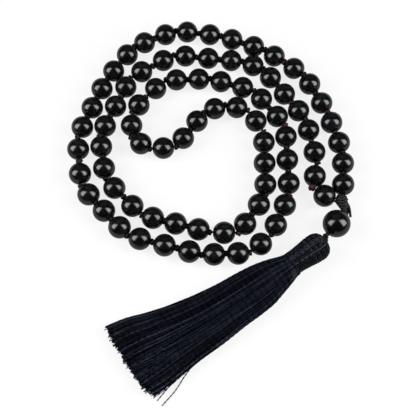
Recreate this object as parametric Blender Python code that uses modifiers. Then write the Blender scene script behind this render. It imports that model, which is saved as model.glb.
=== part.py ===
"""Mala prayer beads: a closed strand of round stone beads, with a guru bead and a tassel.

The strand lies on a table in three loops. Beads sit on a knotted cord. Its two ends are tied in a
closing knot, from which a larger guru bead and a thread tassel hang. +Z is up, the table is z = 0,
and the origin is the middle of the outline on the table. Lengths are written in millimetres and
turned to metres by MM.
"""

from math import asin, cos, pi, radians, sin

import bpy
from mathutils import Matrix, Vector

MM = 0.001

# Beads
BEAD_R = 4.1
BORE_R = 0.85
SLEEVE_R = 1.25         # neck that joins neighbouring beads of a group round the knot between them
BEAD_STEPS = 10         # sides round a bead
ARC_STEPS = 5           # facets from a bead's mouth to its sleeve

# Stringing cord
CORD_R = 0.5
KNOT_R = 0.65
KNOT_HALF = 0.28        # half the length of a knot, and the cord's gap to the fold line

# The line along which the far half of the strand folds up: its heading, and its distance from
# the origin
FOLD_ANGLE = radians(18.0)
FOLD_OFFSET = 17.7

# Closing knot and pendant
KNOT_TOP = Vector((48.2, -0.7, 4.0))
KNOT_END = Vector((48.5, -6.6, 4.3))
KNOT_OUTLINE = [        # share of the way down, and radius
    (0.0, 0.8), (0.12, 1.6), (0.3, 2.0), (0.5, 1.9), (0.7, 1.5), (0.88, 1.0), (1.0, 0.7),
]
TAIL_R = 0.5
LONG_TAIL = [Vector((50.2, -4.0, 3.4)), Vector((50.7, -5.2, 2.4)), Vector((51.2, -7.4, 0.7))]
SHORT_TAIL = [Vector((50.1, -5.2, 1.6)), Vector((50.0, -6.3, 0.9)), Vector((49.6, -7.6, 0.6))]
GURU_R = 5.0
GURU_BORE_R = 0.95
GURU_CENTRE = Vector((45.25, -11.35, 5.0))
GURU_AZIMUTH = radians(229.0)
PENDANT_CORD_R = 0.6
PENDANT_KNOT_R = 0.85
PENDANT_KNOT_FROM_GURU = 6.1

# Tassel
TASSEL_TOP = Vector((41.2, -17.9, 5.2))
TASSEL_AZIMUTH = radians(214.0)
COVER_WALL = 0.5
BINDING_INNER_R = 2.9
BINDING_OUTER_R = 3.5
BINDING_TOP = 12.8      # distances down the tassel
BINDING_BOTTOM = 15.2
LOOP_HOLE_R = 1.1
LOOP_HOLE_DEPTH = 5.5
LOOP_DEPTH = 5.0        # how far the loop reaches into the head
GAP = 0.3
TURN_STEPS = 20
FLAT_SWELL = 0.12       # how much further a flattened bundle's widest place moves down

# The strand's route: the places of the knots between straight groups of beads, and how many beads
# follow each. The first and last are at the closing knot.
KNOTS = [
    (48.4, -0.2, 2), (49.2, 16.6, 2), (44.4, 33.0, 2), (36.0, 49.2, 2), (21.2, 60.0, 2),
    (4.4, 66.2, 2), (-13.4, 68.6, 2), (-29.6, 61.4, 2), (-39.6, 47.2, 3), (-49.6, 23.0, 2),
    (-47.2, 3.2, 3), (-29.6, -15.6, 3), (-3.0, -22.7, 2), (14.2, -22.0, 1), (21.8, -15.4, 2),
    (28.8, -0.2, 3), (28.2, 27.8, 2), (16.6, 42.4, 2), (0.0, 47.4, 2), (-17.2, 46.8, 1),
    (-24.4, 39.6, 1), (-29.6, 32.9, 1), (-29.4, 22.6, 1), (-22.2, 18.0, 1), (-12.6, 19.0, 2),
    (-2.4, 33.0, 1), (5.8, 36.4, 1), (14.4, 34.0, 1), (19.9, 25.4, 3), (20.2, -0.2, 2),
    (10.0, -14.8, 1), (-0.1, -14.3, 3), (-24.8, -7.8, 2), (-38.4, 6.2, 2), (-41.2, 23.4, 3),
    (-30.4, 48.0, 2), (-14.0, 57.8, 3), (12.6, 54.8, 1), (20.6, 51.4, 3), (36.0, 30.2, 2),
    (39.6, 12.4, 1), (37.2, 2.2, 1), (46.0, -3.0, 0),
]
FOLD_KNOTS = [2, 10, 16, 28, 33, 39]     # places in KNOTS of the knots on the fold line

# Tassel head, as turned: distance down the tassel from its top, and outer radius of the cover.
HEAD_PROFILE = [
    (0.3, 1.6), (0.7, 3.2), (1.8, 4.5), (3.6, 5.2), (6.5, 5.1), (9.5, 4.7), (12.5, 4.4), (15.5, 4.3),
]

# Thread bundle inside the head: distance down, and radius.
CORE_PROFILE = [
    (1.5, 2.0), (2.2, 3.2), (4.0, 4.0), (6.5, 4.1), (9.5, 3.7), (12.2, 3.4), (12.6, 2.5), (15.5, 2.5),
]

# Thread bundle below the head: distance down, sideways offset of the middle, half width, height of
# the underside, thickness, and how flat the underside is, from 0 for round to 1.
SKIRT_SECTIONS = [
    (16.3, 0.1, 4.2, 1.0, 8.2, 0.0),
    (19.0, 0.1, 5.4, 0.5, 8.7, 0.3),
    (23.0, -0.2, 6.7, 0.0, 9.0, 1.0),
    (28.0, 0.0, 8.0, 0.0, 8.8, 1.0),
    (34.0, -0.1, 8.6, 0.0, 8.3, 1.0),
    (41.0, -0.3, 8.9, 0.0, 7.7, 1.0),
    (50.0, -0.6, 9.9, 0.0, 7.0, 1.0),
    (60.0, -1.6, 11.2, 0.0, 6.2, 1.0),
    (68.0, -2.4, 12.8, 0.0, 5.6, 1.0),
    (74.0, -3.2, 14.3, 0.0, 5.0, 1.0),
    (81.0, -3.9, 15.0, 0.0, 4.4, 1.0),
]


def clear_scene():
    for obj in list(bpy.data.objects):
        bpy.data.objects.remove(obj, do_unlink=True)


def new_collection(name):
    collection = bpy.data.collections.new(name)
    bpy.context.scene.collection.children.link(collection)
    return collection


def material(name, colour, roughness):
    """A Principled material of one linear colour."""
    result = bpy.data.materials.new(name)
    result.use_nodes = True
    shader = result.node_tree.nodes["Principled BSDF"]
    shader.inputs["Base Color"].default_value = (*colour, 1.0)
    shader.inputs["Roughness"].default_value = roughness
    return result


def frame_along(origin, direction):
    """A frame in metres at origin, with local Z along a direction and local X as near up as it can be."""
    z_axis = direction.normalized()
    y_axis = z_axis.cross(Vector((0.0, 0.0, 1.0))).normalized()
    x_axis = y_axis.cross(z_axis)
    frame = Matrix((x_axis, y_axis, z_axis)).transposed().to_4x4()
    frame.translation = origin * MM
    return frame


def add_object(name, data, surface, collection, frame, parent):
    """Put data in the model at a world frame, under a parent empty if there is one."""
    obj = bpy.data.objects.new(name, data)
    data.materials.append(surface)
    collection.objects.link(obj)
    obj.parent = parent
    if parent:
        obj.matrix_parent_inverse = parent.matrix_world.inverted()
    obj.matrix_world = frame
    return obj


def add_empty(name, collection, place):
    """An empty at a place on a joint's axis, which carries the pieces that turn about it."""
    empty = bpy.data.objects.new(name, None)
    empty.empty_display_size = BEAD_R * MM
    collection.objects.link(empty)
    empty.matrix_world = Matrix.Translation(place * MM)
    bpy.context.view_layer.update()
    return empty


def turned(name, profile, steps, surface, collection, frame, parent=None):
    """A closed profile of (radius, height) points in millimetres, turned about the frame's Z axis."""
    mesh = bpy.data.meshes.new(name)
    points = [(radius * MM, 0.0, height * MM) for radius, height in profile]
    count = len(points)
    mesh.from_pydata(points, [(i, (i + 1) % count) for i in range(count)], [])
    obj = add_object(name, mesh, surface, collection, frame, parent)
    screw = obj.modifiers.new("Turn", "SCREW")
    screw.angle = 2.0 * pi
    screw.steps = steps
    screw.render_steps = steps
    screw.use_merge_vertices = True
    screw.merge_threshold = 1e-6
    screw.use_smooth_shade = True
    return obj


def cord(name, points, radii, surface, collection, parent=None):
    """A cord through points in millimetres, with its radius at each, round and capped."""
    curve = bpy.data.curves.new(name, "CURVE")
    curve.dimensions = "3D"
    curve.bevel_depth = MM
    curve.bevel_resolution = 2
    curve.use_fill_caps = True
    curve.resolution_u = 1
    spline = curve.splines.new("POLY")
    spline.points.add(len(points) - 1)
    for spline_point, place, radius in zip(spline.points, points, radii):
        spline_point.co = (*(place * MM), 1.0)
        spline_point.radius = radius
    return add_object(name, curve, surface, collection, Matrix.Identity(4), parent)


# The strand


def fold_normal():
    return Vector((-sin(FOLD_ANGLE), cos(FOLD_ANGLE), 0.0))


def knot_places():
    """The knots' places, with the fold's own knots set exactly on its line."""
    places = [Vector((x, y, BEAD_R)) for x, y, _ in KNOTS]
    normal = fold_normal()
    for i in FOLD_KNOTS:
        places[i] += normal * (FOLD_OFFSET - places[i].dot(normal))
    return places


def bead_profile(heights):
    """Outline of beads joined in a row at these heights: down the outside, then back up the bore."""
    mouth = asin(BORE_R / BEAD_R)
    neck = asin(SLEEVE_R / BEAD_R)
    profile = []
    for i, height in enumerate(heights):
        start = mouth if i == 0 else neck
        end = pi - (mouth if i == len(heights) - 1 else neck)
        for step in range(ARC_STEPS + 1):
            angle = start + (end - start) * step / ARC_STEPS
            profile.append((BEAD_R * sin(angle), height + BEAD_R * cos(angle)))
    return profile


def bead_group(numbers, start, end, surface, collection, parent):
    """Drilled beads evenly spaced between two knots, joined by sleeves round the knots between."""
    pitch = (end - start).length / len(numbers)
    heights = [pitch * (len(numbers) / 2.0 - 0.5 - i) for i in range(len(numbers))]
    name = "bead_" + "_".join(f"{number:02d}" for number in numbers)
    frame = frame_along((start + end) / 2.0, start - end)
    turned(name, bead_profile(heights), BEAD_STEPS, surface, collection, frame, parent)


def strand(parts, stone, cord_surface, fold_hinge):
    """The beads in their groups, and the cord in stretches that part at the fold line."""
    places = knot_places()
    number = 1
    for i, (_, _, count) in enumerate(KNOTS[:-1]):
        numbers = list(range(number, number + count))
        far = sum(fold <= i for fold in FOLD_KNOTS) % 2 == 1
        parent = fold_hinge if far else None
        bead_group(numbers, places[i], places[i + 1], stone, parts, parent)
        number += count

    ends = [0, *FOLD_KNOTS, len(KNOTS) - 1]
    for stretch, (first, last) in enumerate(zip(ends, ends[1:])):
        parent = fold_hinge if stretch % 2 == 1 else None
        cord_stretch(f"string_{stretch + 1}", places[first:last + 1], cord_surface, parts, parent)


def cord_stretch(name, places, surface, collection, parent):
    """The cord through a stretch of knots. Its ends stop just short of the fold line."""
    points = []
    radii = []
    for i, place in enumerate(places):
        if i > 0:
            back = (places[i - 1] - place).normalized()
            points.append(place + back * KNOT_HALF)
            radii.append(CORD_R)
        if 0 < i < len(places) - 1:
            points.append(place)
            radii.append(KNOT_R)
        if i < len(places) - 1:
            ahead = (places[i + 1] - place).normalized()
            points.append(place + ahead * KNOT_HALF)
            radii.append(CORD_R)
    cord(name, points, radii, surface, collection, parent)


# Closing knot, guru bead and pendant


def closing_knot(parts, surface):
    """The braided knot that joins the strand's two ends, and its two cut tails."""
    length = (KNOT_END - KNOT_TOP).length
    profile = [(radius, -share * length) for share, radius in KNOT_OUTLINE]
    profile = [(0.0, 0.0), *profile, (0.0, -length)]
    frame = frame_along(KNOT_TOP, KNOT_TOP - KNOT_END)
    turned("closing_knot", profile, TURN_STEPS // 2, surface, parts, frame)
    for name, points in (("knot_tail_long", LONG_TAIL), ("knot_tail_short", SHORT_TAIL)):
        cord(name, points, [TAIL_R] * len(points), surface, parts)


def sphere_profile(radius, bore):
    mouth = asin(bore / radius)
    count = TURN_STEPS // 2
    angles = [mouth + (pi - 2.0 * mouth) * i / count for i in range(count + 1)]
    return [(radius * sin(angle), radius * cos(angle)) for angle in angles]


def pendant(parts, stone, surface, swing):
    """Guru bead, the cord through it and the small knot below it. Returns that knot's centre."""
    direction = Vector((cos(GURU_AZIMUTH), sin(GURU_AZIMUTH), 0.0))
    frame = frame_along(GURU_CENTRE, -direction)
    turned("guru_bead", sphere_profile(GURU_R, GURU_BORE_R), TURN_STEPS, stone, parts, frame, swing)
    knot = GURU_CENTRE + direction * PENDANT_KNOT_FROM_GURU
    top = GURU_CENTRE - direction * (GURU_R + GAP)
    bottom = knot - direction * (PENDANT_KNOT_R + GAP)
    cord("guru_cord", [top, GURU_CENTRE, bottom], [PENDANT_CORD_R] * 3, surface, parts, swing)
    ball = [(PENDANT_KNOT_R * sin(pi * i / 6), PENDANT_KNOT_R * cos(pi * i / 6)) for i in range(7)]
    turned("pendant_knot", ball, TURN_STEPS // 2, surface, parts, frame_along(knot, -direction), swing)
    return knot


# Tassel


def tassel_place(along, aside, height):
    """A point of the tassel from its distance down, its offset to the side and its height."""
    down = Vector((cos(TASSEL_AZIMUTH), sin(TASSEL_AZIMUTH), 0.0))
    side = Vector((-down.y, down.x, 0.0))
    place = TASSEL_TOP + down * along + side * aside
    place.z = height
    return place


def tassel_cover(parts, surface, parent, frame):
    """The knotted thread cover of the head: a thin turned shell, open at the top and at the neck."""
    outside = [(radius, -along) for along, radius in HEAD_PROFILE]
    inside = [(radius - COVER_WALL, -along - min(COVER_WALL, radius * 0.1))
              for along, radius in HEAD_PROFILE[1:-1]]
    inside.insert(0, (HEAD_PROFILE[0][1] - COVER_WALL, -HEAD_PROFILE[0][0] - COVER_WALL))
    neck_along, neck_radius = HEAD_PROFILE[-1]
    inside.append((neck_radius - COVER_WALL, -neck_along))
    turned("tassel_head_cover", outside + inside[::-1], TURN_STEPS, surface, parts, frame, parent)


def neck_binding(parts, surface, parent, frame):
    """The turns of thread that bind the bundle's neck, under the cover."""
    profile = [
        (BINDING_INNER_R, -BINDING_TOP), (BINDING_OUTER_R, -BINDING_TOP),
        (BINDING_OUTER_R, -BINDING_BOTTOM), (BINDING_INNER_R, -BINDING_BOTTOM),
    ]
    turned("neck_binding", profile, TURN_STEPS, surface, parts, frame, parent)


def bundle_ring(along, aside, half_width, base, thickness, flat):
    """One cross-section of the thread bundle, round or with a flat underside."""
    ring = []
    for i in range(TURN_STEPS):
        angle = 2.0 * pi * (i + 0.5) / TURN_STEPS
        swell = FLAT_SWELL * flat
        rise = max(0.0, 0.5 + (0.5 + swell) * sin(angle)) / (1.0 + swell)
        ring.append(tassel_place(along, aside + half_width * cos(angle), base + thickness * rise) * MM)
    return ring


def thread_bundle(parts, cutters, surface, parent):
    """The folded threads, from inside the head through the bound neck to the cut ends."""
    axis = TASSEL_TOP.z
    rings = [
        bundle_ring(along, 0.0, radius, axis - radius, 2.0 * radius, 0.0) for along, radius in CORE_PROFILE
    ]
    rings.extend(bundle_ring(*section) for section in SKIRT_SECTIONS)
    vertices = [point for ring in rings for point in ring]
    faces = [tuple(range(TURN_STEPS))]
    for level in range(len(rings) - 1):
        for i in range(TURN_STEPS):
            a = level * TURN_STEPS + i
            b = level * TURN_STEPS + (i + 1) % TURN_STEPS
            faces.append((a, a + TURN_STEPS, b + TURN_STEPS, b))
    faces.append(tuple(reversed(range(len(vertices) - TURN_STEPS, len(vertices)))))
    mesh = bpy.data.meshes.new("tassel_threads")
    mesh.from_pydata(vertices, [], faces)
    mesh.validate()
    mesh.shade_smooth()
    bundle = add_object("tassel_threads", mesh, surface, parts, Matrix.Identity(4), parent)

    bpy.ops.mesh.primitive_cylinder_add(
        vertices=TURN_STEPS // 2, radius=LOOP_HOLE_R * MM, depth=2.0 * LOOP_HOLE_DEPTH * MM)
    cutter = bpy.context.object
    cutter.name = "loop_hole_cutter"
    for owner in list(cutter.users_collection):
        owner.objects.unlink(cutter)
    cutters.objects.link(cutter)
    down = Vector((cos(TASSEL_AZIMUTH), sin(TASSEL_AZIMUTH), 0.0))
    cutter.matrix_world = frame_along(TASSEL_TOP, down)
    cutter.hide_render = True
    cutter.display_type = "WIRE"
    cut = bundle.modifiers.new("Loop hole", "BOOLEAN")
    cut.operation = "DIFFERENCE"
    cut.object = cutter


def tassel(parts, cutters, thread, cord_surface, knot):
    """The tassel, on an empty at the knot that it swings from."""
    parent = add_empty("tassel_pivot", parts, knot)
    down = Vector((cos(TASSEL_AZIMUTH), sin(TASSEL_AZIMUTH), 0.0))
    frame = frame_along(TASSEL_TOP, -down)
    tassel_cover(parts, thread, parent, frame)
    neck_binding(parts, thread, parent, frame)
    thread_bundle(parts, cutters, thread, parent)
    start = knot + (TASSEL_TOP - knot).normalized() * (PENDANT_KNOT_R + GAP)
    loop = [start, TASSEL_TOP + down * PENDANT_KNOT_R, TASSEL_TOP + down * LOOP_DEPTH]
    cord("tassel_loop", loop, [PENDANT_CORD_R] * len(loop), cord_surface, parts, parent)


def main():
    clear_scene()
    parts = new_collection("mala_prayer_beads")
    cutters = new_collection("cutters")
    stone = material("polished_black_agate", (0.006, 0.006, 0.008), 0.08)
    string = material("dark_maroon_cord", (0.030, 0.006, 0.007), 0.6)
    waxed = material("black_waxed_cord", (0.008, 0.008, 0.009), 0.5)
    thread = material("black_rayon_thread", (0.006, 0.007, 0.012), 0.45)

    fold_point = fold_normal() * FOLD_OFFSET + Vector((0.0, 0.0, BEAD_R))
    fold_hinge = add_empty("fold_hinge", parts, fold_point)
    strand(parts, stone, string, fold_hinge)
    closing_knot(parts, waxed)
    swing = add_empty("pendant_swing", parts, KNOT_END)
    knot = pendant(parts, stone, waxed, swing)
    tassel(parts, cutters, thread, waxed, knot)


main()
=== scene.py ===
"""Mala prayer beads: eighty black agate beads on a knotted maroon cord, a guru bead and a thread tassel.

The strand lies on a table in three loops, as in the frame that this script is built around. Beads,
knots, cords and threads are made with Geometry Nodes and turned to plain meshes. Lengths are in
metres, in the frame's own axes: +Z up, the table at z = 0.
"""

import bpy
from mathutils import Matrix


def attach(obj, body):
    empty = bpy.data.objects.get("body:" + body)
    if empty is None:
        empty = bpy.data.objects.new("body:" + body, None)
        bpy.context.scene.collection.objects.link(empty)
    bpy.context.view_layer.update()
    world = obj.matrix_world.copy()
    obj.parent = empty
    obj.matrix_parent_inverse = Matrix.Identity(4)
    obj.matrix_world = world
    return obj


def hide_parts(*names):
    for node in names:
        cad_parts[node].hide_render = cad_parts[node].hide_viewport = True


bl_info = {
    "name": "Mala Prayer Beads",
    "version": (1, 0, 0),
    "blender": (4, 5, 0),
    "location": "View3D > Sidebar > Mala",
    "description": "Builds a mala of agate beads with its closing knot, guru bead and tassel",
    "category": "Add Mesh",
}

from math import asin, cos, pi, radians, sin, tau

import bmesh
import bpy
import numpy as np
from bpy.props import FloatProperty, FloatVectorProperty, IntProperty, PointerProperty
from mathutils import Vector

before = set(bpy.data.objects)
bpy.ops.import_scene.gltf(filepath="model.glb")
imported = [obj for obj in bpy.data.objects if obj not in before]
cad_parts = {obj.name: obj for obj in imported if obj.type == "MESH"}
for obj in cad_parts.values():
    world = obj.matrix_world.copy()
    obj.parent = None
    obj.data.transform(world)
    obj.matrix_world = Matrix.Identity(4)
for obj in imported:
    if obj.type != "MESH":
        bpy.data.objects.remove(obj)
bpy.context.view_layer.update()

MM = 0.001
UP = Vector((0.0, 0.0, 1.0))

# The strand's route: the knots between straight groups of beads, in millimetres, and how many beads
# follow each. The first and last are at the closing knot.
KNOTS = [
    (48.4, -0.2, 2), (49.2, 16.6, 2), (44.4, 33.0, 2), (36.0, 49.2, 2), (21.2, 60.0, 2),
    (4.4, 66.2, 2), (-13.4, 68.6, 2), (-29.6, 61.4, 2), (-39.6, 47.2, 3), (-49.6, 23.0, 2),
    (-47.2, 3.2, 3), (-29.6, -15.6, 3), (-3.0, -22.7, 2), (14.2, -22.0, 1), (21.8, -15.4, 2),
    (28.8, -0.2, 3), (28.2, 27.8, 2), (16.6, 42.4, 2), (0.0, 47.4, 2), (-17.2, 46.8, 1),
    (-24.4, 39.6, 1), (-29.6, 32.9, 1), (-29.4, 22.6, 1), (-22.2, 18.0, 1), (-12.6, 19.0, 2),
    (-2.4, 33.0, 1), (5.8, 36.4, 1), (14.4, 34.0, 1), (19.9, 25.4, 3), (20.2, -0.2, 2),
    (10.0, -14.8, 1), (-0.1, -14.3, 3), (-24.8, -7.8, 2), (-38.4, 6.2, 2), (-41.2, 23.4, 3),
    (-30.4, 48.0, 2), (-14.0, 57.8, 3), (12.6, 54.8, 1), (20.6, 51.4, 3), (36.0, 30.2, 2),
    (39.6, 12.4, 1), (37.2, 2.2, 1), (46.0, -3.0, 0),
]
FOLD_KNOTS = [2, 10, 16, 28, 33, 39]     # places in KNOTS of the knots on the fold line
LARGE_KNOT = 41                          # place of the larger knot, before the last bead
LARGE_KNOT_SHIFT = (0.0, 0.5, 0.4)
FOLD_ANGLE = radians(18.0)
FOLD_OFFSET = 17.7 * MM

KNOT_TOP = Vector((48.2, -0.7, 4.0)) * MM
KNOT_END = Vector((48.5, -6.6, 4.3)) * MM
GURU_CENTRE = Vector((45.25, -11.35, 5.0)) * MM
GURU_AZIMUTH = radians(229.0)
PENDANT_KNOT_FROM_GURU = 6.1 * MM
TASSEL_TOP = Vector((41.2, -17.9, 5.2)) * MM
TASSEL_AZIMUTH = radians(214.0)

PENDANT_CORD_RADIUS = 0.55 * MM
NECK_END = 15.5 * MM                     # down the tassel, where the cover stops and the skirt opens
COVER_END = 15.4 * MM
BINDING_RADIUS = 3.35 * MM
SECTION_EASE = 1.5 * MM                  # width over which the skirt's sections run into each other
GOLDEN_ANGLE = pi * (3.0 - 5.0 ** 0.5)

# Tassel head, as turned, in millimetres: distance down the tassel from its top, and outer radius.
HEAD_PROFILE = [
    (0.3, 1.6), (0.7, 3.2), (1.8, 4.5), (3.6, 5.2), (6.5, 5.1), (9.5, 4.7), (12.5, 4.4), (15.5, 4.3),
]


def rgb(hex_colour):
    """A linear colour from an sRGB hex value."""
    digits = hex_colour.lstrip("#")
    parts = [int(digits[i:i + 2], 16) / 255.0 for i in (0, 2, 4)]
    return tuple(p / 12.92 if p <= 0.04045 else ((p + 0.055) / 1.055) ** 2.4 for p in parts) + (1.0,)


# ---------------------------------------------------------------- node and mesh helpers


def add(tree, kind, inputs=None, **settings):
    """Add a node with its settings. An input is given a value, or the socket that feeds it."""
    node = tree.nodes.new(kind)
    for name, value in settings.items():
        setattr(node, name, value)
    for name, value in (inputs or {}).items():
        if isinstance(value, bpy.types.NodeSocket):
            tree.links.new(value, node.inputs[name])
        else:
            node.inputs[name].default_value = value
    return node


def new_tree(name, sockets):
    """An empty Geometry Nodes tree with a geometry input and output, and these further inputs."""
    tree = bpy.data.node_groups.new(name, "GeometryNodeTree")
    tree.interface.new_socket("Geometry", in_out="INPUT", socket_type="NodeSocketGeometry")
    tree.interface.new_socket("Geometry", in_out="OUTPUT", socket_type="NodeSocketGeometry")
    for label, kind, default in sockets:
        socket = tree.interface.new_socket(label, in_out="INPUT", socket_type=kind)
        if default is not None:
            socket.default_value = default
    return tree, tree.nodes.new("NodeGroupInput").outputs, tree.nodes.new("NodeGroupOutput").inputs


def surface(name):
    """A new material: its node tree, its shader and its object coordinates."""
    made = bpy.data.materials.new(name)
    made.use_nodes = True
    tree = made.node_tree
    shader = tree.nodes["Principled BSDF"]
    coords = add(tree, "ShaderNodeTexCoord").outputs["Object"]
    return made, tree, shader, coords


def mesh_object(name, points, edges=(), faces=()):
    """A new object in the scene, from these points, edges and faces."""
    mesh = bpy.data.meshes.new(name)
    mesh.from_pydata([tuple(p) for p in points], list(edges), list(faces))
    obj = bpy.data.objects.new(name, mesh)
    bpy.context.scene.collection.objects.link(obj)
    return obj


def grown(obj, tree, values):
    """Run a Geometry Nodes tree on an object, with these inputs, and keep the result as a plain mesh."""
    modifier = obj.modifiers.new(tree.name, "NODES")
    modifier.node_group = tree
    identifiers = {s.name: s.identifier for s in tree.interface.items_tree if s.in_out == "INPUT"}
    for label, value in values.items():
        modifier[identifiers[label]] = value
    evaluated = obj.evaluated_get(bpy.context.evaluated_depsgraph_get())
    mesh = bpy.data.meshes.new_from_object(evaluated)
    obj.modifiers.remove(modifier)
    old = obj.data
    obj.data = mesh
    bpy.data.meshes.remove(old)
    mesh.name = obj.name
    return obj


def finish_piece(obj, body, nodes=()):
    """Put a piece on its CAD body, and hide the CAD nodes that it stands for."""
    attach(obj, body)
    if nodes:
        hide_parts(*nodes)


def turned_shape(name, profile, sides):
    """A closed (radius, height) outline turned about Z, with its faces outwards."""
    made = bmesh.new()
    ring = [made.verts.new((radius, 0.0, height)) for radius, height in profile]
    edges = [made.edges.new((a, b)) for a, b in zip(ring, ring[1:] + ring[:1])]
    bmesh.ops.spin(made, geom=ring + edges, cent=(0, 0, 0), axis=(0, 0, 1), angle=tau, steps=sides,
                   use_merge=True)
    bmesh.ops.remove_doubles(made, verts=made.verts, dist=1e-7)
    bmesh.ops.recalc_face_normals(made, faces=made.faces)
    mesh = bpy.data.meshes.new(name)
    made.to_mesh(mesh)
    made.free()
    obj = bpy.data.objects.new(name, mesh)
    bpy.context.scene.collection.objects.link(obj)
    return obj


def paths_object(name, paths, shades=None):
    """Open paths as a mesh of edges, with a shade from 0 to 1 for each path."""
    points = np.concatenate(paths)
    edges = []
    start = 0
    for path in paths:
        edges.extend((i, i + 1) for i in range(start, start + len(path) - 1))
        start += len(path)
    obj = mesh_object(name, points, edges)
    values = np.repeat(shades if shades is not None else np.full(len(paths), 0.5), [len(p) for p in paths])
    attribute = obj.data.attributes.new("shade", "FLOAT", "POINT")
    attribute.data.foreach_set("value", values.astype(np.float32))
    return obj


def smooth_path(points, spacing):
    """Points at an even spacing along a smooth curve through the given ones."""
    given = np.array([tuple(p) for p in points], float)
    padded = np.vstack([2 * given[0] - given[1], given, 2 * given[-1] - given[-2]])
    dense = []
    for a, b, c, d in zip(padded, padded[1:], padded[2:], padded[3:]):
        t = np.linspace(0.0, 1.0, 24, endpoint=False)[:, None]
        dense.append(0.5 * (2 * b + (c - a) * t + (2 * a - 5 * b + 4 * c - d) * t**2
                            + (3 * b - a - 3 * c + d) * t**3))
    line = np.vstack([*dense, given[-1:]])
    lengths = np.concatenate([[0.0], np.cumsum(np.linalg.norm(np.diff(line, axis=0), axis=1))])
    count = max(2, round(lengths[-1] / spacing) + 1)
    wanted = np.linspace(0.0, lengths[-1], count)
    return np.column_stack([np.interp(wanted, lengths, line[:, i]) for i in range(3)])


# ---------------------------------------------------------------- geometry node trees


def shapes_tree():
    """Copies of one shape on points, each turned along the point's own direction and rolled at random."""
    tree, given, out = new_tree("Shapes on points", [
        ("Shape", "NodeSocketObject", None),
        ("Seed", "NodeSocketInt", 0),
        ("Size Spread", "NodeSocketFloat", 0.0),
        ("Material", "NodeSocketMaterial", None),
    ])
    shape = add(tree, "GeometryNodeObjectInfo", {"Object": given["Shape"]})
    along = add(tree, "GeometryNodeInputNamedAttribute", {"Name": "along"}, data_type="FLOAT_VECTOR")
    turn = add(tree, "FunctionNodeAlignRotationToVector", {"Vector": along.outputs["Attribute"]}, axis="Z")
    roll = add(tree, "FunctionNodeRandomValue", {2: 0.0, 3: tau, "Seed": given["Seed"]})
    rolled = add(tree, "FunctionNodeRotateRotation", {
        "Rotation": turn.outputs["Rotation"],
        "Rotate By": add(tree, "FunctionNodeAxisAngleToRotation", {
            "Axis": (0.0, 0.0, 1.0), "Angle": roll.outputs[1]}).outputs["Rotation"],
    }, rotation_space="LOCAL")
    least = add(tree, "ShaderNodeMath", {0: 1.0, 1: given["Size Spread"]}, operation="SUBTRACT")
    size = add(tree, "FunctionNodeRandomValue", {2: least.outputs[0], 3: 1.0, "Seed": given["Seed"]})
    placed = add(tree, "GeometryNodeInstanceOnPoints", {
        "Points": given["Geometry"],
        "Instance": shape.outputs["Geometry"],
        "Rotation": rolled.outputs["Rotation"],
        "Scale": size.outputs[1],
    })
    real = add(tree, "GeometryNodeRealizeInstances", {"Geometry": placed.outputs["Instances"]})
    smooth = add(tree, "GeometryNodeSetShadeSmooth", {"Geometry": real.outputs["Geometry"]})
    finish = add(tree, "GeometryNodeSetMaterial", {
        "Geometry": smooth.outputs["Geometry"], "Material": given["Material"]})
    tree.links.new(finish.outputs["Geometry"], out["Geometry"])
    return tree


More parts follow.
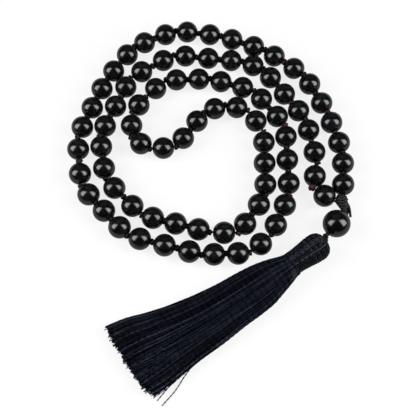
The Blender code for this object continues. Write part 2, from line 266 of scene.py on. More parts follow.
def cords_tree():
    """Twisted cords along paths: a round section with a hollow between plies, turning as it goes."""
    tree, given, out = new_tree("Twisted cords", [
        ("Radius", "NodeSocketFloat", 0.0005),
        ("Sides", "NodeSocketInt", 12),
        ("Plies", "NodeSocketInt", 3),
        ("Ply Depth", "NodeSocketFloat", 0.2),
        ("Lay Length", "NodeSocketFloat", 0.003),
        ("Material", "NodeSocketMaterial", None),
    ])
    line = add(tree, "GeometryNodeMeshToCurve", {"Mesh": given["Geometry"]})
    run = add(tree, "GeometryNodeSplineParameter")
    turns = add(tree, "ShaderNodeMath", {
        0: run.outputs["Length"], 1: given["Lay Length"]}, operation="DIVIDE")
    tilt = add(tree, "ShaderNodeMath", {0: turns.outputs[0], 1: tau}, operation="MULTIPLY")
    tilted = add(tree, "GeometryNodeSetCurveTilt", {"Curve": line.outputs["Curve"], "Tilt": tilt.outputs[0]})

    ring = add(tree, "GeometryNodeCurvePrimitiveCircle", {
        "Resolution": given["Sides"], "Radius": given["Radius"]})
    angle = add(tree, "GeometryNodeSplineParameter").outputs["Factor"]
    waves = add(tree, "ShaderNodeMath", {0: given["Plies"], 1: tau}, operation="MULTIPLY")
    phase = add(tree, "ShaderNodeMath", {0: angle, 1: waves.outputs[0]}, operation="MULTIPLY")
    wave = add(tree, "ShaderNodeMath", {0: phase.outputs[0]}, operation="COSINE")
    ridge = add(tree, "ShaderNodeMapRange", {"Value": wave.outputs[0], "From Min": -1.0, "From Max": 1.0})
    hollow = add(tree, "ShaderNodeMath", {0: 1.0, 1: ridge.outputs["Result"]}, operation="SUBTRACT")
    depth = add(tree, "ShaderNodeMath", {0: hollow.outputs[0], 1: given["Ply Depth"]}, operation="MULTIPLY")
    share = add(tree, "ShaderNodeMath", {0: 1.0, 1: depth.outputs[0]}, operation="SUBTRACT")
    place = add(tree, "GeometryNodeInputPosition").outputs["Position"]
    drawn_in = add(tree, "ShaderNodeVectorMath", {0: place, "Scale": share.outputs[0]}, operation="SCALE")
    lobed = add(tree, "GeometryNodeSetPosition", {
        "Geometry": ring.outputs["Curve"], "Position": drawn_in.outputs["Vector"]})
    # The ridge value is kept for the cord materials, which use it to paint shade into the hollows and glints
    # onto the ridges.
    marked = add(tree, "GeometryNodeStoreNamedAttribute", {
        "Geometry": lobed.outputs["Geometry"], "Name": "ridge", "Value": ridge.outputs["Result"]},
        data_type="FLOAT", domain="POINT")
    tube = add(tree, "GeometryNodeCurveToMesh", {
        "Curve": tilted.outputs["Curve"], "Profile Curve": marked.outputs["Geometry"], "Fill Caps": True})
    smooth = add(tree, "GeometryNodeSetShadeSmooth", {"Geometry": tube.outputs["Mesh"]})
    real = add(tree, "GeometryNodeRealizeInstances", {"Geometry": smooth.outputs["Geometry"]})
    finish = add(tree, "GeometryNodeSetMaterial", {
        "Geometry": real.outputs["Geometry"], "Material": given["Material"]})
    tree.links.new(finish.outputs["Geometry"], out["Geometry"])
    return tree


def tree_named(name, maker):
    """The tree of that name, made on first use."""
    return bpy.data.node_groups.get(name) or maker()


def cords(name, paths, material, radius, sides=12, plies=3, depth=0.2, lay=0.003, shades=None):
    """Twisted cords along these paths, as one plain mesh."""
    obj = paths_object(name, paths, shades)
    return grown(obj, tree_named("Twisted cords", cords_tree), {
        "Radius": radius, "Sides": sides, "Plies": plies, "Ply Depth": depth, "Lay Length": lay,
        "Material": material,
    })


def shapes(name, shape, centres, directions, material, seed, spread=0.0):
    """Copies of a shape at these centres, along these directions, as one plain mesh."""
    obj = mesh_object(name, centres)
    attribute = obj.data.attributes.new("along", "FLOAT_VECTOR", "POINT")
    attribute.data.foreach_set("vector", np.array([tuple(d) for d in directions], np.float32).ravel())
    return grown(obj, tree_named("Shapes on points", shapes_tree), {
        "Shape": shape, "Seed": seed, "Size Spread": spread, "Material": material,
    })


# ---------------------------------------------------------------- materials


def polished_agate(colour, cloud_colour):
    """Black agate, tumbled and polished. A hard clear gloss, with faint smoky clouds just below it."""
    made, tree, shader, coords = surface("polished_black_agate")
    cloud = add(tree, "ShaderNodeTexNoise", {"Vector": coords, "Scale": 1.0 / (2.5 * MM), "Detail": 4.0})
    ramp = add(tree, "ShaderNodeMapRange", {
        "Value": cloud.outputs["Fac"], "From Min": 0.45, "From Max": 0.75})
    tint = add(tree, "ShaderNodeMix", {
        "Factor": ramp.outputs["Result"], 6: colour, 7: cloud_colour}, data_type="RGBA")
    tree.links.new(tint.outputs[2], shader.inputs["Base Color"])
    rub = add(tree, "ShaderNodeTexNoise", {"Vector": coords, "Scale": 1.0 / (0.8 * MM), "Detail": 3.0})
    gloss = add(tree, "ShaderNodeMapRange", {"Value": rub.outputs["Fac"], "To Min": 0.13, "To Max": 0.2})
    tree.links.new(gloss.outputs["Result"], shader.inputs["Roughness"])
    shader.inputs["IOR"].default_value = 1.54
    return made


def stringing_cord(name, colour, dark_colour, share):
    """Waxed nylon cord, twisted from maroon and black plies, with painted shade in the hollows between the
    plies. Share is how much of it shows dark red.
    """
    made, tree, shader, coords = surface(name)
    ply = add(tree, "ShaderNodeTexNoise", {"Vector": coords, "Scale": 1.0 / (3.5 * MM), "Detail": 3.0})
    which = add(tree, "ShaderNodeMapRange", {
        "Value": ply.outputs["Fac"], "From Min": 0.65 - 0.3 * share, "From Max": 0.79 - 0.3 * share})
    tint = add(tree, "ShaderNodeMix", {
        "Factor": which.outputs["Result"], 6: dark_colour, 7: colour}, data_type="RGBA")
    # Painted shade: the hollows between the plies are darkened to 0.35 of the colour, where shade would fall.
    ridge = add(tree, "ShaderNodeAttribute", attribute_name="ridge").outputs["Fac"]
    shade = add(tree, "ShaderNodeMapRange", {"Value": ridge, "To Min": 0.35, "To Max": 1.0})
    shaded = add(tree, "ShaderNodeMix", {
        "Factor": 1.0, 6: tint.outputs[2], 7: shade.outputs["Result"],
    }, data_type="RGBA", blend_type="MULTIPLY")
    tree.links.new(shaded.outputs[2], shader.inputs["Base Color"])
    fibre = add(tree, "ShaderNodeTexNoise", {"Vector": coords, "Scale": 1.0 / (0.12 * MM), "Detail": 2.0})
    bump = add(tree, "ShaderNodeBump", {
        "Height": fibre.outputs["Fac"], "Strength": 0.5, "Distance": 0.03 * MM})
    tree.links.new(bump.outputs["Normal"], shader.inputs["Normal"])
    shader.inputs["Roughness"].default_value = 0.6
    shader.inputs["Specular IOR Level"].default_value = 0.3
    return made


def braided_cord(colour, painted_glint_colour):
    """Black waxed cord, braided tight. Small grey glints are painted on the ridges, over painted shade in the
    dark hollows between them.
    """
    made, tree, shader, coords = surface("black_waxed_cord")
    ridge = add(tree, "ShaderNodeAttribute", attribute_name="ridge").outputs["Fac"]
    # Painted highlight and painted shade: the second colour is a glint painted on the ply ridges, and the
    # hollows keep the first, dark colour as shade.
    tint = add(tree, "ShaderNodeMix", {"Factor": ridge, 6: colour, 7: painted_glint_colour}, data_type="RGBA")
    tree.links.new(tint.outputs[2], shader.inputs["Base Color"])
    fibre = add(tree, "ShaderNodeTexNoise", {"Vector": coords, "Scale": 1.0 / (0.15 * MM), "Detail": 3.0})
    gloss = add(tree, "ShaderNodeMapRange", {"Value": fibre.outputs["Fac"], "To Min": 0.3, "To Max": 0.6})
    tree.links.new(gloss.outputs["Result"], shader.inputs["Roughness"])
    shader.inputs["Specular IOR Level"].default_value = 0.4
    bump = add(tree, "ShaderNodeBump", {
        "Height": fibre.outputs["Fac"], "Strength": 0.5, "Distance": 0.03 * MM})
    tree.links.new(bump.outputs["Normal"], shader.inputs["Normal"])
    return made


def rayon_thread(name, colour, light_colour, roughness, shine):
    """Spun rayon thread. Each thread takes the dye a little differently, and shines along its ridges."""
    made, tree, shader, coords = surface(name)
    shade = add(tree, "ShaderNodeAttribute", attribute_name="shade").outputs["Fac"]
    slub = add(tree, "ShaderNodeTexNoise", {"Vector": coords, "Scale": 1.0 / (3.0 * MM), "Detail": 2.0})
    mixed = add(tree, "ShaderNodeMath", {0: shade, 1: slub.outputs["Fac"]}, operation="MULTIPLY")
    spread = add(tree, "ShaderNodeMapRange", {"Value": mixed.outputs[0], "From Min": 0.05, "From Max": 0.6})
    tint = add(tree, "ShaderNodeMix", {
        "Factor": spread.outputs["Result"], 6: colour, 7: light_colour}, data_type="RGBA")
    tree.links.new(tint.outputs[2], shader.inputs["Base Color"])
    shader.inputs["Roughness"].default_value = roughness
    shader.inputs["Specular IOR Level"].default_value = shine
    shader.inputs["Specular Tint"].default_value = rgb("#c4cdf0")
    return made


def material_named(name, maker, *values):
    """The material of that name, made on first use."""
    return bpy.data.materials.get(name) or maker(*values)


def agate():
    beads = bpy.context.scene.mala_beads
    return material_named("polished_black_agate", polished_agate, (*beads.colour, 1.0), rgb("#14151a"))


def maroon_cord():
    string = bpy.context.scene.mala_string
    name = "waxed_maroon_cord"
    return material_named(name, stringing_cord, name, (*string.colour, 1.0), rgb("#0a0606"), 0.62)


def red_cord():
    string = bpy.context.scene.mala_string
    name = "waxed_maroon_cord_at_the_large_knot"
    return material_named(name, stringing_cord, name, (*string.colour, 1.0), rgb("#0c0708"), 0.75)


def black_cord():
    # 141416 is the glint painted on the ridges of the braid.
    return material_named("black_waxed_cord", braided_cord, rgb("#030304"), rgb("#141416"))


def skirt_thread():
    tassel = bpy.context.scene.mala_tassel
    name = "black_rayon_thread"
    return material_named(name, rayon_thread, name, (*tassel.colour, 1.0), rgb("#3d4358"), 0.38, 0.36)


def cover_thread():
    tassel = bpy.context.scene.mala_tassel
    name = "woven_rayon_cover"
    return material_named(name, rayon_thread, name, (*tassel.colour, 1.0), rgb("#3e4049"), 0.45, 0.22)


# ---------------------------------------------------------------- sizes and colours that a user may change


class MalaBeads(bpy.types.PropertyGroup):
    diameter: FloatProperty(name="Bead diameter", description="Across one strand bead",
                            default=8.2 * MM, unit="LENGTH")
    bore: FloatProperty(name="Bore", description="Across the hole drilled through a bead",
                        default=1.7 * MM, unit="LENGTH")
    guru_diameter: FloatProperty(name="Guru diameter", description="Across the guru bead",
                                 default=10.0 * MM, unit="LENGTH")
    guru_bore: FloatProperty(name="Guru bore", description="Across the hole drilled through the guru bead",
                             default=1.9 * MM, unit="LENGTH")
    sides: IntProperty(name="Sides", description="Facets round a bead", default=40, min=12)
    colour: FloatVectorProperty(name="Stone colour", description="Colour of the polished stone",
                                default=rgb("#050506")[:3], subtype="COLOR", size=3)


class MalaString(bpy.types.PropertyGroup):
    diameter: FloatProperty(name="Cord diameter", description="Across the stringing cord",
                            default=1.0 * MM, unit="LENGTH")
    knot_diameter: FloatProperty(name="Knot diameter", description="Across a knot between two beads",
                                 default=3.0 * MM, unit="LENGTH")
    large_knot_diameter: FloatProperty(name="Large knot diameter",
                                       description="Across the knot before the last bead",
                                       default=3.8 * MM, unit="LENGTH")
    lay_length: FloatProperty(name="Lay length", description="Length of one turn of the plies",
                              default=2.4 * MM, unit="LENGTH")
    colour: FloatVectorProperty(name="Cord colour", description="Colour of the red plies",
                                default=rgb("#4a2229")[:3], subtype="COLOR", size=3)


class MalaTassel(bpy.types.PropertyGroup):
    thread_diameter: FloatProperty(name="Thread diameter", description="Across one skirt thread",
                                   default=0.38 * MM, unit="LENGTH")
    threads: IntProperty(name="Threads", description="Number of threads in the skirt", default=1000, min=50)
    cut: FloatProperty(name="Cut length", description="From the tassel's top to its cut ends",
                       default=81.4 * MM, unit="LENGTH")
    seed: IntProperty(name="Seed", description="Fixes how the threads lie", default=7)
    colour: FloatVectorProperty(name="Thread colour", description="Colour of the rayon thread",
                                default=rgb("#030406")[:3], subtype="COLOR", size=3)


class MalaStage(bpy.types.PropertyGroup):
    elevation: FloatProperty(name="Camera elevation", description="Above the table",
                             default=radians(70.65), subtype="ANGLE")
    distance: FloatProperty(name="Camera distance", description="From the middle of the view",
                            default=0.2895, unit="LENGTH")
    lens: FloatProperty(name="Lens", description="Focal length in millimetres", default=69.2)
    strength: FloatProperty(name="Softbox strength", description="Brightness of the two softboxes",
                            default=7.2)
    floor: FloatVectorProperty(name="Floor colour", description="Colour of the table",
                               default=rgb("#f4f4f4")[:3], subtype="COLOR", size=3)


# ---------------------------------------------------------------- the strand


def knot_places():
    """The knots between bead groups, with the fold's own knots set exactly on its line."""
    height = bpy.context.scene.mala_beads.diameter / 2.0
    places = [Vector((x * MM, y * MM, height)) for x, y, _ in KNOTS]
    normal = Vector((-sin(FOLD_ANGLE), cos(FOLD_ANGLE), 0.0))
    for i in FOLD_KNOTS:
        places[i] += normal * (FOLD_OFFSET - places[i].dot(normal))
    return places


def bead_groups():
    """For each straight group: its body, its beads' numbers, and the knots at its two ends."""
    places = knot_places()
    groups = []
    number = 1
    for i, (_, _, count) in enumerate(KNOTS[:-1]):
        numbers = list(range(number, number + count))
        node = "bead_" + "_".join(f"{n:02d}" for n in numbers)
        groups.append((node, numbers, places[i], places[i + 1]))
        number += count
    return groups


def strand_body(knot_index):
    """The body of the cord just after a knot: the far half lies beyond an odd number of fold knots."""
    return "far_strand" if sum(fold <= knot_index for fold in FOLD_KNOTS) % 2 else "near_strand"


def bead_outline(radius, bore_radius, rings):
    """Half section of a drilled bead: the sphere, a small countersink at each mouth, and the bore."""
    mouth = asin((bore_radius + 0.2 * MM) / radius)
    outline = []
    for i in range(rings + 1):
        angle = mouth + (pi - 2.0 * mouth) * i / rings
        outline.append((radius * sin(angle), radius * cos(angle)))
    inside = radius * cos(mouth) - 0.2 * MM
    outline.extend([(bore_radius, -inside), (bore_radius, inside)])
    return outline


class MALA_OT_beads(bpy.types.Operator):
    """Eighty drilled agate beads, in one mesh for each group that turns together"""
    bl_idname = "mala.beads"
    bl_label = "Beads"

    def execute(self, context):
        sizes = context.scene.mala_beads
        outline = bead_outline(sizes.diameter / 2.0, sizes.bore / 2.0, sizes.sides // 2)
        bead = turned_shape("bead_shape", outline, sizes.sides)
        for seed, (node, numbers, start, end) in enumerate(bead_groups()):
            step = (end - start) / len(numbers)
            centres = [start + step * (j + 0.5) for j in range(len(numbers))]
            name = node.replace("bead_", "beads_")
            piece = shapes(name, bead, centres, [step] * len(numbers), agate(), seed)
            finish_piece(piece, node + "_roller", [node])
        bpy.data.objects.remove(bead)
        return {"FINISHED"}


def bore_ends(groups):
    """Points along the cord's way through some groups, near both mouths of every bead."""
    _, _, first_knot, _ = groups[0]
    points = [first_knot]
    for _, numbers, start, end in groups:
        step = (end - start) / len(numbers)
        for j in range(len(numbers)):
            points.extend([start + step * (j + 0.2), start + step * (j + 0.8)])
    return [*points, end]


def knot_shape(radius):
    """A small overhand knot, pulled tight: one cord that crosses itself three times."""
    turn = np.linspace(0.0, tau, 37)[:-1]
    path = np.column_stack([np.sin(turn) + 2.0 * np.sin(2.0 * turn),
                            np.cos(turn) - 2.0 * np.cos(2.0 * turn), -0.9 * np.sin(3.0 * turn)])
    path *= 0.62 * radius / 3.0
    path = np.vstack([path, path[:1]])
    return cords("knot_shape", [path], maroon_cord(), 0.40 * radius, sides=6, plies=2, depth=0.1, lay=0.002)


class MALA_OT_string(bpy.types.Operator):
    """The stringing cord in its stretches, and a knot between every two beads"""
    bl_idname = "mala.string"
    bl_label = "String and knots"

    def execute(self, context):
        sizes = context.scene.mala_string
        places = knot_places()
        groups = bead_groups()
        ends = [0, *FOLD_KNOTS, len(KNOTS) - 1]
        for i, (first, last) in enumerate(zip(ends, ends[1:])):
            route = smooth_path(bore_ends(groups[first:last]), 0.8 * MM)
            piece = cords(f"cord_{i + 1}", [route], maroon_cord(), sizes.diameter / 2.0, lay=sizes.lay_length)
            finish_piece(piece, strand_body(first), [f"string_{i + 1}"])

        knots = {"near_strand": [], "far_strand": []}
        for i, (_, numbers, start, end) in enumerate(groups):
            step = (end - start) / len(numbers)
            body = strand_body(i)
            for j in range(1, len(numbers)):
                knots[body].append((start + step * j, step))
            if i + 1 < len(KNOTS) - 1:
                owner = "near_strand" if i + 1 in FOLD_KNOTS else body
                knots[owner].append((end, step))
        shape = knot_shape(sizes.knot_diameter / 2.0)
        for seed, (body, found) in enumerate(sorted(knots.items())):
            centres = [centre for centre, _ in found]
            directions = [direction for _, direction in found]
            piece = shapes(f"knots_{body}", shape, centres, directions, maroon_cord(), seed, spread=0.2)
            finish_piece(piece, body)
        bpy.data.objects.remove(shape)

        shape = knot_shape(sizes.large_knot_diameter / 2.0)
        centre = places[LARGE_KNOT] + Vector(LARGE_KNOT_SHIFT) * MM
        direction = places[LARGE_KNOT + 1] - places[LARGE_KNOT - 1]
        piece = shapes("large_knot", shape, [centre], [direction], red_cord(), 4)
        finish_piece(piece, "near_strand")
        bpy.data.objects.remove(shape)
        return {"FINISHED"}


# ---------------------------------------------------------------- closing knot and pendant


def braid_paths(top, end, radii, strands, turns, strand_radius, wobble):
    """Strands wound both ways round a line, passing over and under each other, to a bulging outline."""
    axis = (end - top).normalized()
    side = axis.cross(UP).normalized()
    other = side.cross(axis)
    length = (end - top).length
    paths = []
    t = np.linspace(0.0, 1.0, 60)
    bulge = np.interp(t, np.linspace(0.0, 1.0, len(radii)), radii)
    for way in (1, -1):
        for k in range(strands):
            angle = way * (tau * turns * t) + tau * k / strands
            over = way * wobble * np.cos(strands * 2.0 * turns * tau * t + 0.5)
            reach = np.maximum(bulge - strand_radius + over, 0.1 * MM)
            centre = np.array(top)[None] + np.array(axis)[None] * (length * t)[:, None]
            paths.append(centre + reach[:, None] * (np.cos(angle)[:, None] * np.array(side)[None]
                                                    + np.sin(angle)[:, None] * np.array(other)[None]))
    return paths


class MALA_OT_closing_knot(bpy.types.Operator):
    """The braided knot that joins the strand's two ends, and its two cut tails"""
    bl_idname = "mala.closing_knot"
    bl_label = "Closing knot"

    def execute(self, context):
        radii = [value * MM for value in (1.2, 2.0, 2.35, 2.2, 1.85, 1.45, 1.1, 0.8)]
        top = KNOT_TOP + Vector((-0.9, 0.5, 0.2)) * MM
        paths = braid_paths(top, KNOT_END, radii, 4, 1.5, 0.5 * MM, 0.18 * MM)
        core = [radius - 0.5 * MM for radius in radii]
        paths.extend(braid_paths(top, KNOT_END, core, 4, 0.6, 0.5 * MM, 0.0))
        lead_in = [Vector((45.6, -2.9, 4.0)), Vector((46.6, -3.2, 4.2)), Vector((47.6, -3.6, 4.9)),
                   Vector((48.6, -4.4, 5.6)), Vector((49.6, -4.6, 4.6)), Vector((49.8, -4.4, 3.4))]
        wrap = [Vector((48.4, 0.2, 4.0)), Vector((48.3, -0.7, 4.5)), Vector((47.6, -1.5, 5.4)),
                Vector((47.0, -2.4, 5.3)), Vector((47.2, -3.2, 4.0))]
        paths.extend(smooth_path([p * MM for p in route], 0.25 * MM) for route in (lead_in, wrap))
        knot = cords("closing_knot_braid", paths, black_cord(), 0.5 * MM, sides=8, plies=3, depth=0.22,
                     lay=1.6 * MM)
        finish_piece(knot, "near_strand", ["closing_knot"])

        long_tail = [Vector((49.3, -3.0, 4.2)), Vector((50.2, -4.0, 3.4)), Vector((50.7, -5.2, 2.4)),
                     Vector((51.2, -7.4, 0.7))]
        short_tail = [Vector((49.6, -3.6, 2.6)), Vector((50.1, -5.2, 1.6)), Vector((50.0, -6.3, 0.9)),
                      Vector((49.6, -7.6, 0.65))]
        for name, route in (("long", long_tail), ("short", short_tail)):
            tail = cords(f"cut_tail_{name}", [smooth_path([p * MM for p in route], 0.25 * MM)], black_cord(),
                         PENDANT_CORD_RADIUS, sides=12, plies=3, depth=0.25, lay=2.2 * MM)
            finish_piece(tail, "near_strand", [f"knot_tail_{name}"])
        return {"FINISHED"}


class MALA_OT_pendant(bpy.types.Operator):
    """Guru bead, the cord through it, and the small knot below it"""
    bl_idname = "mala.pendant"
    bl_label = "Guru bead and cord"

    def execute(self, context):
        sizes = context.scene.mala_beads
        direction = Vector((cos(GURU_AZIMUTH), sin(GURU_AZIMUTH), 0.0))
        outline = bead_outline(sizes.guru_diameter / 2.0, sizes.guru_bore / 2.0, sizes.sides // 2)
        shape = turned_shape("guru_shape", outline, sizes.sides + 8)
        guru = shapes("guru", shape, [GURU_CENTRE], [direction], agate(), 3)
        bpy.data.objects.remove(shape)
        finish_piece(guru, "guru", ["guru_bead"])

        knot = GURU_CENTRE + direction * PENDANT_KNOT_FROM_GURU
        route = [KNOT_END, GURU_CENTRE - direction * (sizes.guru_diameter / 2.0), GURU_CENTRE, knot]
        cord = cords("pendant_cord_run", [smooth_path(route, 0.3 * MM)], black_cord(), PENDANT_CORD_RADIUS,
                     lay=2.0 * MM)
        finish_piece(cord, "pendant_cord", ["guru_cord"])

        wraps = braid_paths(knot - direction * 0.75 * MM, knot + direction * 0.75 * MM,
                            [0.7 * MM, 1.15 * MM, 1.15 * MM, 0.7 * MM], 2, 0.75, 0.38 * MM, 0.08 * MM)
        small = cords("pendant_knot_wraps", wraps, black_cord(), 0.38 * MM, sides=8, lay=1.6 * MM)
        finish_piece(small, "pendant_knot", ["pendant_knot"])
        return {"FINISHED"}


# ---------------------------------------------------------------- tassel


def tassel_axes():
    down = Vector((cos(TASSEL_AZIMUTH), sin(TASSEL_AZIMUTH), 0.0))
    return down, Vector((-down.y, down.x, 0.0))


def tassel_points(along, aside, height):
    """Points from distances down the tassel, offsets to the side and heights above the table."""
    down, side = tassel_axes()
    top = np.array(TASSEL_TOP)
    points = top[None] + np.outer(along, np.array(down)) + np.outer(aside, np.array(side))
    points[:, 2] = height
    return points


def tassel_vertices(node):
    """A CAD node's vertices as distances down the tassel, offsets to the side and heights."""
    down, side = tassel_axes()
    places = np.array([v.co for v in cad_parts[node].data.vertices], float).reshape(-1, 3)
    away = places - np.array(TASSEL_TOP)
    return away @ np.array(down), away @ np.array(side), places[:, 2]


def rings_of(node, start):
    """Each ring of a tassel node below start: its distance down, sides, underside and top."""
    along, aside, height = tassel_vertices(node)
    rings = []
    for level in sorted(set(np.round(along[along > start], 5))):
        here = np.abs(along - level) < 0.05 * MM
        rings.append((level, aside[here].min(), aside[here].max(), height[here].min(), height[here].max()))
    return np.array(rings)


def smooth_between(wanted, levels, values, width):
    """Values read between levels, averaged over a width so that the line has no corners."""
    shifts = np.linspace(-width, width, 5)
    return sum(np.interp(wanted + shift, levels, values) for shift in shifts) / len(shifts)


class MALA_OT_tassel_head(bpy.types.Operator):
    """The tassel's loop, the woven cover over its head, and the binding under that"""
    bl_idname = "mala.tassel_head"
    bl_label = "Tassel head"

    def execute(self, context):
        down, side = tassel_axes()
        outer = np.array(HEAD_PROFILE) * MM
        # Real yarns are 0.3 mm across. These are 0.5 mm, so that the weave can be seen.
        yarn, lift = 0.25 * MM, 0.18 * MM
        warp_count, weft_pitch = 48, 0.95 * MM
        along = np.linspace(0.6 * MM, COVER_END, 68)
        radius = smooth_between(along, outer[:, 0], outer[:, 1], 0.5 * MM) - yarn - lift
        centre_height = TASSEL_TOP.z
        paths, shades = [], []
        rng = np.random.default_rng(5)
        for k in range(warp_count):
            angle = tau * k / warp_count
            weave = lift * np.cos(pi * along / weft_pitch + pi * k)
            reach = radius + weave
            paths.append(tassel_points(along, reach * cos(angle), centre_height + reach * sin(angle)))
            shades.append(rng.uniform(0.0, 1.0) ** 3)
        turn = np.linspace(0.0, tau, warp_count * 2 + 1)
        for level in np.arange(1.0 * MM, COVER_END, weft_pitch):
            here = np.interp(level, along, radius)
            weave = lift * np.cos(turn * warp_count / 2.0 + pi * round(level / weft_pitch))
            reach = here - weave
            paths.append(tassel_points(np.full(len(turn), level), reach * np.cos(turn),
                                       centre_height + reach * np.sin(turn)))
            shades.append(rng.uniform(0.0, 1.0) ** 3)
        cover = cords("woven_head_cover", paths, cover_thread(), yarn, sides=5, plies=1, depth=0.0,
                      shades=np.array(shades))
        finish_piece(cover, "tassel", ["tassel_head_cover"])

        core_outline = [(0.0, -0.5 * MM)]
        for level in np.linspace(0.5 * MM, 15.6 * MM, 28):
            core_outline.append((float(np.interp(level, along, radius)) - 0.1 * MM, -float(level)))
        core_outline.append((0.0, -15.6 * MM))
        core = turned_shape("head_core_shape", core_outline, 40)
        padding = shapes("head_padding", core, [TASSEL_TOP], [-down], cover_thread(), 1)
        bpy.data.objects.remove(core)
        finish_piece(padding, "tassel")

        spins = np.linspace(0.0, 7.0 * tau, 7 * 24)
        run = np.linspace(12.9 * MM, 15.1 * MM, len(spins))
        bind = tassel_points(run, BINDING_RADIUS * np.cos(spins),
                             centre_height + BINDING_RADIUS * np.sin(spins))
        binding = cords("neck_binding_turns", [bind], cover_thread(), 0.15 * MM, sides=6, plies=1, depth=0.0)
        finish_piece(binding, "tassel", ["neck_binding"])

        guru_way = Vector((cos(GURU_AZIMUTH), sin(GURU_AZIMUTH), 0.0))
        knot = GURU_CENTRE + guru_way * PENDANT_KNOT_FROM_GURU
        legs = []
        for shift in (-0.3, 0.45):
            over = [(0.2, shift, 7.3), (1.3, shift, 9.2), (2.8, shift * 0.8, 10.35), (3.9, shift * 0.5, 10.2)]
            route = [knot, *(tassel_points([a * MM], [b * MM], h * MM)[0] for a, b, h in over)]
            legs.append(smooth_path(route, 0.25 * MM))
        loop = cords("tassel_loop_cord", legs, black_cord(), 0.36 * MM, sides=8, lay=1.8 * MM)
        finish_piece(loop, "tassel", ["tassel_loop"])
        return {"FINISHED"}


def thread_paths(count, thread_radius, cut, rng, sections):
    """Where each skirt thread runs, from inside the neck to its cut end, and how deep in the bundle it is."""
    levels = sections[:, 0]
    spread = np.sqrt((np.arange(count) + 0.5) / count)
    angle = np.arange(count) * GOLDEN_ANGLE
    locks = 34
    lock = (angle % tau / tau * locks).astype(int)
    lock_wave = rng.normal(0.0, 1.0, (locks, 3))
    paths = []
    for k in range(count):
        corner = (spread[k] * cos(angle[k])) ** 4
        end = cut + rng.normal(0.0, 0.4 * MM) + 0.5 * MM * lock_wave[lock[k], 2] - 1.2 * MM * corner
        along = np.linspace(14.6 * MM, end, 32)
        share = np.clip((along - NECK_END) / (cut - NECK_END), 0.0, 1.0)
        left = smooth_between(along, levels, sections[:, 1], SECTION_EASE) - 0.1 * MM
        right = smooth_between(along, levels, sections[:, 2], SECTION_EASE) + 0.3 * MM
        base = smooth_between(along, levels, sections[:, 3], SECTION_EASE) + thread_radius
        top = smooth_between(along, levels, sections[:, 4], SECTION_EASE) - thread_radius
        flat = np.clip((along - 17.0 * MM) / (6.0 * MM), 0.0, 1.0)
        drift = rng.normal(0.0, 0.10) * share + 0.05 * lock_wave[lock[k], 0] * np.sin(
            5.0 * share + lock_wave[lock[k], 1])
        turn = angle[k] + drift
        reach = 1.03 * spread[k] * (1.0 + rng.normal(0.0, 0.04) * share)
        groove = 1.0 + sin(angle[k] * locks + 2.5 * sin(7.0 * angle[k]))
        sunk = 0.045 * groove * (1.0 - 0.85 * share) + 0.06 * rng.uniform() ** 2
        reach = np.minimum(reach, 1.0) * (1.0 - sunk)
        aside = (left + right) / 2.0 + (right - left) / 2.0 * reach * np.cos(turn)
        rise = np.maximum(0.0, 0.5 + (0.5 + 0.12 * flat) * reach * np.sin(turn)) / (1.0 + 0.12 * flat)
        height = base + (top - base) * np.minimum(rise, 1.0)
        ripple = 0.12 * MM * share * np.sin(along / (rng.uniform(3.0, 7.0) * MM) + rng.uniform(0.0, tau))
        paths.append(tassel_points(along, aside + ripple, np.maximum(height + 0.5 * ripple, thread_radius)))
    return paths, spread


class MALA_OT_tassel_skirt(bpy.types.Operator):
    """The skirt of rayon threads, from the neck to the cut ends, with a few strays"""
    bl_idname = "mala.tassel_skirt"
    bl_label = "Tassel skirt"

    def execute(self, context):
        sizes = context.scene.mala_tassel
        radius = sizes.thread_diameter / 2.0
        rng = np.random.default_rng(sizes.seed)
        sections = rings_of("tassel_threads", 15.8 * MM)
        paths, spread = thread_paths(sizes.threads, radius, sizes.cut, rng, sections)
        shades = rng.uniform(0.0, 1.0, len(paths)) ** 4
        outer = [i for i in range(len(paths)) if spread[i] > 0.72]
        inner = [i for i in range(len(paths)) if spread[i] <= 0.72]
        for name, chosen in (("skirt_outer_threads", outer), ("skirt_inner_threads", inner)):
            piece = cords(name, [paths[i] for i in chosen], skirt_thread(), radius, sides=5, plies=1,
                          depth=0.0, shades=shades[chosen])
            finish_piece(piece, "tassel", ["tassel_threads"])

        strays = [
            [(60.0, 8.6, 1.6), (67.0, 10.7, 1.0), (73.0, 13.2, 0.6), (79.4, 14.8, 0.3)],
            [(68.0, 9.6, 1.4), (75.0, 11.2, 0.8), (79.8, 12.5, 0.3)],
            [(66.0, -12.6, 2.6), (74.0, -15.6, 1.8), (81.4, -18.4, 0.9)],
            [(66.0, -9.0, 3.2), (76.0, -12.0, 2.2), (82.6, -13.6, 1.2)],
            [(64.0, -7.0, 3.4), (76.0, -9.4, 2.4), (82.4, -11.6, 1.4)],
        ]
        routes = [smooth_path([tassel_points([a * MM], [b * MM], h * MM)[0] for a, b, h in stray], 1.5 * MM)
                  for stray in strays]
        loose = cords("stray_threads", routes, skirt_thread(), 1.6 * radius, sides=6, plies=2, depth=0.15)
        finish_piece(loose, "tassel")
        return {"FINISHED"}


# ---------------------------------------------------------------- stage


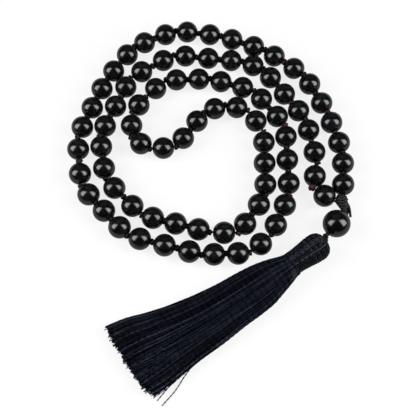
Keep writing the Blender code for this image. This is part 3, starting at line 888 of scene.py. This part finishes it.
def softbox(name, corners, distance, strength):
    """A four-cornered glowing panel, from the directions of its corners. It fades towards its edges."""
    directions = [Vector(corner) for corner in corners]
    middle = sum(directions, Vector()) / 4.0
    facing = middle.normalized()
    points = [d * (distance / d.dot(facing)) for d in directions]
    centre = sum(points, Vector()) / 4.0
    panel = mesh_object(name, [p - centre for p in points], (), [(0, 1, 2, 3)])
    panel.location = centre
    reach = max((p - centre).length for p in points)
    made = bpy.data.materials.new(name + "_glow")
    made.use_nodes = True
    tree = made.node_tree
    tree.nodes.clear()
    coords = add(tree, "ShaderNodeTexCoord").outputs["Object"]
    away = add(tree, "ShaderNodeVectorMath", {0: coords}, operation="LENGTH")
    fade = add(tree, "ShaderNodeMapRange", {
        "Value": away.outputs["Value"], "From Min": 0.15 * reach, "From Max": reach,
        "To Min": strength, "To Max": 0.08 * strength}, interpolation_type="SMOOTHSTEP")
    glow = add(tree, "ShaderNodeEmission", {"Strength": fade.outputs["Result"]})
    add(tree, "ShaderNodeOutputMaterial", {"Surface": glow.outputs["Emission"]})
    panel.data.materials.append(made)
    panel.visible_camera = False
    return panel


class MALA_OT_stage(bpy.types.Operator):
    """A pale table, two softboxes, a weak fill and the camera"""
    bl_idname = "mala.stage"
    bl_label = "Stage"

    def execute(self, context):
        scene = context.scene
        stage = scene.mala_stage
        scene.view_settings.view_transform = "Standard"

        half = 2.0
        floor = mesh_object("table", [(-half, -half, 0), (half, -half, 0), (half, half, 0), (-half, half, 0)],
                            (), [(0, 1, 2, 3)])
        made, tree, shader, _ = surface("lit_white_acrylic")
        shader.inputs["Base Color"].default_value = rgb("#6e6e6e")
        shader.inputs["Roughness"].default_value = 0.9
        shader.inputs["Specular IOR Level"].default_value = 0.0
        shader.inputs["Emission Color"].default_value = (*stage.floor, 1.0)
        direct = add(tree, "ShaderNodeLightPath").outputs["Is Camera Ray"]
        lit = add(tree, "ShaderNodeMapRange", {"Value": direct, "To Min": 0.34, "To Max": 0.91})
        tree.links.new(lit.outputs["Result"], shader.inputs["Emission Strength"])
        floor.data.materials.append(made)

        left = [(-0.155, 0.13, 0.98), (-0.835, 0.23, 0.50), (-0.99, 0.015, 0.14), (-0.775, -0.465, 0.425)]
        right = [(0.155, 0.13, 0.98), (0.835, 0.21, 0.50), (0.99, -0.02, 0.13), (0.77, -0.495, 0.40)]
        softbox("softbox_left", left, 0.5, stage.strength)
        softbox("softbox_right", right[::-1], 0.5, stage.strength)
        back = [(-0.8, 0.75, 0.30), (0.8, 0.75, 0.30), (0.35, 0.5, 0.85), (-0.35, 0.5, 0.85)]
        softbox("back_fill", back, 0.7, 0.15)

        world = bpy.data.worlds.new("studio")
        scene.world = world
        world.use_nodes = True
        nodes = world.node_tree
        nodes.nodes.clear()
        dim = add(nodes, "ShaderNodeBackground", {"Color": rgb("#ffffff"), "Strength": 0.03})
        pale = add(nodes, "ShaderNodeBackground", {"Color": rgb("#f4f4f4"), "Strength": 1.0})
        seen = add(nodes, "ShaderNodeLightPath").outputs["Is Camera Ray"]
        both = add(nodes, "ShaderNodeMixShader", {
            0: seen, 1: dim.outputs["Background"], 2: pale.outputs["Background"]})
        add(nodes, "ShaderNodeOutputWorld", {"Surface": both.outputs["Shader"]})

        target = Vector((-0.8, -5.1, 4.0)) * MM
        back_way = Vector((0.0, -cos(stage.elevation), sin(stage.elevation)))
        camera = bpy.data.objects.new("camera", bpy.data.cameras.new("camera"))
        scene.collection.objects.link(camera)
        camera.location = target + back_way * stage.distance
        camera.rotation_euler = (-back_way).to_track_quat("-Z", "Y").to_euler()
        camera.data.lens = stage.lens
        camera.data.sensor_width = 36.0
        camera.data.clip_start = 0.01
        camera.data.clip_end = 10.0
        scene.camera = camera
        return {"FINISHED"}


OPERATORS = (
    MALA_OT_stage, MALA_OT_string, MALA_OT_beads, MALA_OT_closing_knot, MALA_OT_pendant,
    MALA_OT_tassel_head, MALA_OT_tassel_skirt,
)


class MALA_PT_panel(bpy.types.Panel):
    """Sizes, colours and the buttons that build each part of the mala"""
    bl_idname = "MALA_PT_panel"
    bl_label = "Mala Prayer Beads"
    bl_space_type = "VIEW_3D"
    bl_region_type = "UI"
    bl_category = "Mala"

    def draw(self, context):
        for name in ("mala_beads", "mala_string", "mala_tassel", "mala_stage"):
            group = getattr(context.scene, name)
            box = self.layout.box()
            for key in group.bl_rna.properties.keys():
                if key not in ("name", "rna_type"):
                    box.prop(group, key)
        for operator in OPERATORS:
            self.layout.operator(operator.bl_idname)


GROUPS = {
    "mala_beads": MalaBeads, "mala_string": MalaString, "mala_tassel": MalaTassel, "mala_stage": MalaStage,
}


def register():
    for made in (*GROUPS.values(), *OPERATORS, MALA_PT_panel):
        bpy.utils.register_class(made)
    for name, group in GROUPS.items():
        setattr(bpy.types.Scene, name, PointerProperty(type=group))


def unregister():
    for name in GROUPS:
        delattr(bpy.types.Scene, name)
    for made in reversed((*GROUPS.values(), *OPERATORS, MALA_PT_panel)):
        bpy.utils.unregister_class(made)


def main():
    register()
    for operator in OPERATORS:
        family, name = operator.bl_idname.split(".")
        getattr(getattr(bpy.ops, family), name)()


if __name__ == "__main__":
    main()
